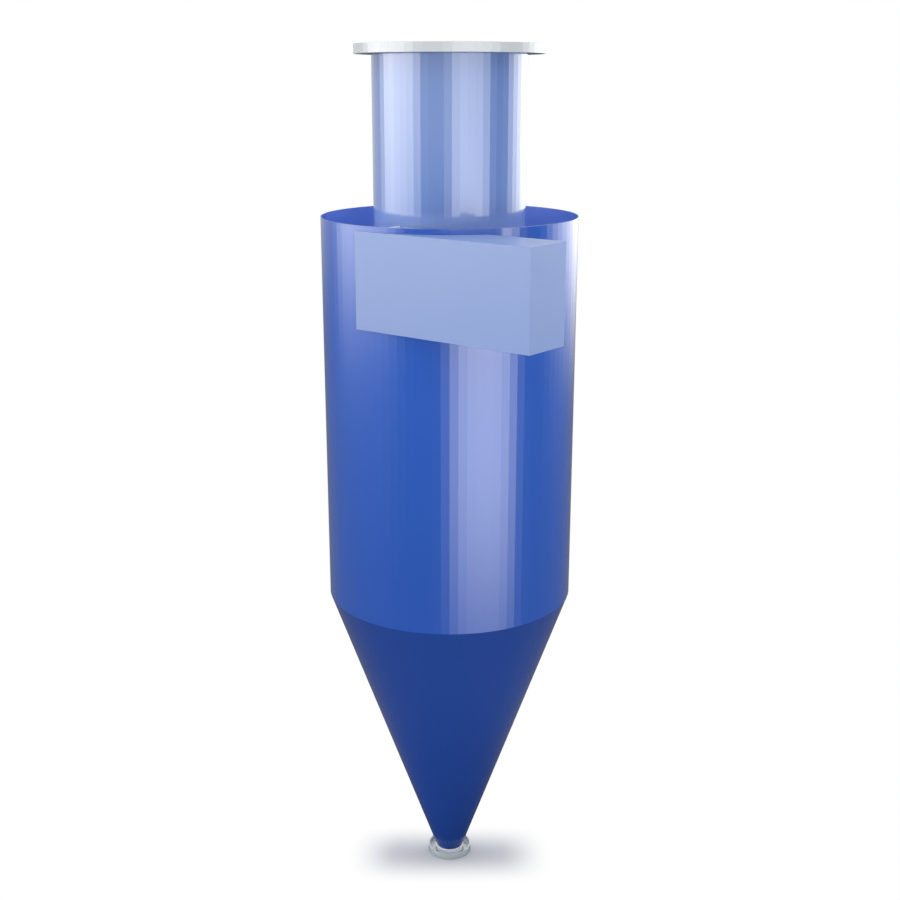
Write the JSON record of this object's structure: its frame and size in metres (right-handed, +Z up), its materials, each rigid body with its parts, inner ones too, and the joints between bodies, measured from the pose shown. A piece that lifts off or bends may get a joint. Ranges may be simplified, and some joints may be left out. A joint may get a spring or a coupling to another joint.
{
  "type": "cyclone separator",
  "caption": "Upright sheet-steel dust cyclone: tangential rectangular inlet, screw-shaped lid, central flanged exhaust pipe, tall cylinder and cone down to a flanged dust outlet.",
  "frame": {"origin": "centre of the dust flange's lower face, where the dust leaves", "axes": "+Z up along the axis of the shell, +X the way the inlet mouth faces, the inlet duct on the -Y side"},
  "size_m": [1.232, 1.0033, 3.442],
  "materials": {
    "deep_blue_paint": "gloss paint",
    "light_blue_paint": "gloss paint",
    "grey_flange_paint": "satin grey paint",
    "pale_collar_paint": "satin pale paint"
  },
  "bodies": {
    "root": {"shell_lower_far_side": "deep_blue_paint", "shell_lower_inlet_side": "deep_blue_paint", "shell_upper_far_side": "deep_blue_paint", "shell_upper_inlet_side": "deep_blue_paint", "cone_lower_far_side": "deep_blue_paint", "cone_lower_inlet_side": "deep_blue_paint", "cone_upper_far_side": "deep_blue_paint", "cone_upper_inlet_side": "deep_blue_paint", "exhaust_pipe": "light_blue_paint", "duct_outer_side": "light_blue_paint", "duct_inner_side": "light_blue_paint", "duct_roof": "light_blue_paint", "duct_floor": "light_blue_paint", "inlet_cover": "light_blue_paint", "lid_quarter_1": "light_blue_paint", "lid_quarter_2": "light_blue_paint", "lid_quarter_3": "light_blue_paint", "lid_quarter_4": "light_blue_paint", "exhaust_flange": "grey_flange_paint", "dust_flange": "grey_flange_paint", "outlet_collar": "pale_collar_paint"}
  },
  "joints": []
}
